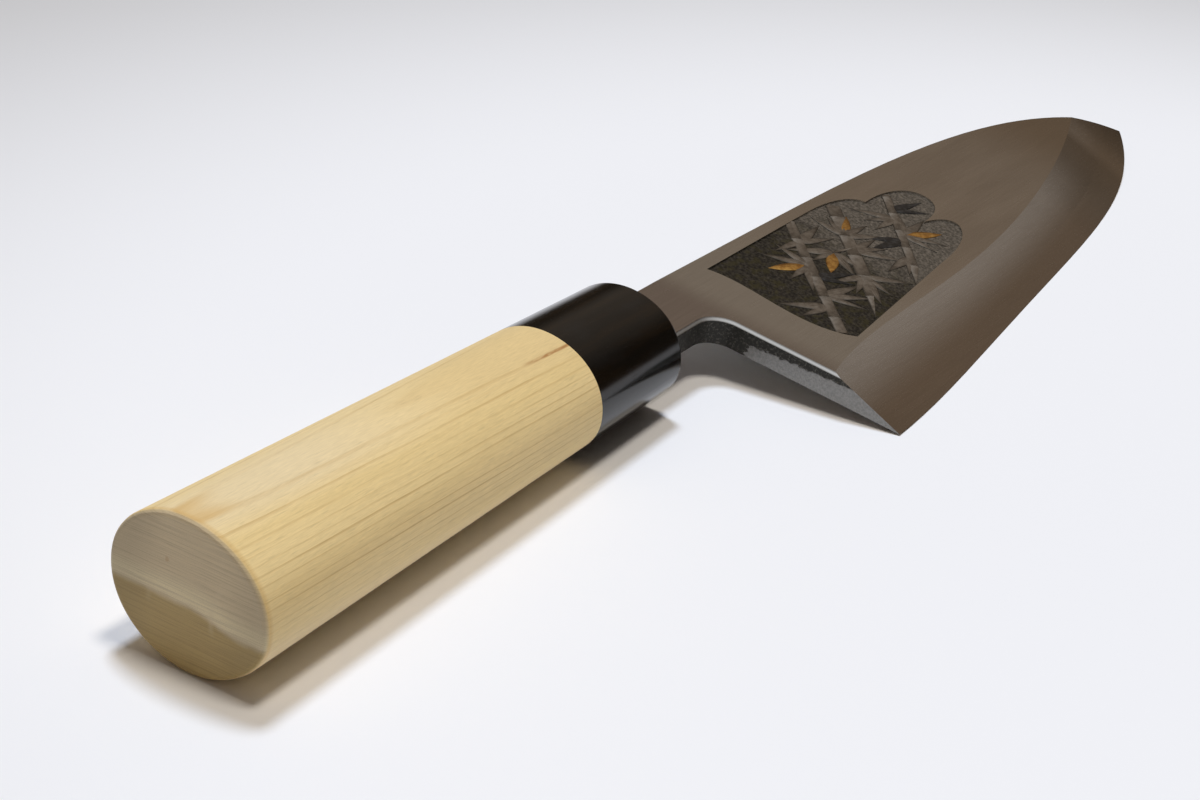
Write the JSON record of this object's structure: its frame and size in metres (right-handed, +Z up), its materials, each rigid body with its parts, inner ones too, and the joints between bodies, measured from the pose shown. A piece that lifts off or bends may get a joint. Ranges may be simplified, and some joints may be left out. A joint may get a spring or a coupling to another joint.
{
  "type": "deba knife",
  "caption": "Heavy single-bevel kitchen knife with a laminated blade, an engraved flat with gold leaf inlays, an oval wooden handle and a dark ferrule, lying bevel up.",
  "frame": {"origin": "centre of the knife's box on the table that it lies on", "axes": "+X along the handle from butt to tip, +Y across the blade towards the spine, +Z up from the table, out of the bevelled side"},
  "size_m": [0.3242, 0.0646, 0.0269],
  "materials": {
    "handle": "sanded magnolia, unvarnished",
    "ferrule": "polished black horn",
    "tang_bed": "set resin",
    "mouth_seal": "set resin",
    "blade_iron": "satin, ground along the blade",
    "edge_steel": "ground bright",
    "gold_leaf": "burnished gold inlay"
  },
  "bodies": {
    "root": {"handle": "handle", "ferrule": "ferrule", "tang_bed": "tang_bed", "mouth_seal": "mouth_seal", "blade_iron": "blade_iron", "edge_steel": "edge_steel", "gold_leaf_1": "gold_leaf", "gold_leaf_2": "gold_leaf", "gold_leaf_3": "gold_leaf", "gold_leaf_4": "gold_leaf"}
  },
  "joints": []
}
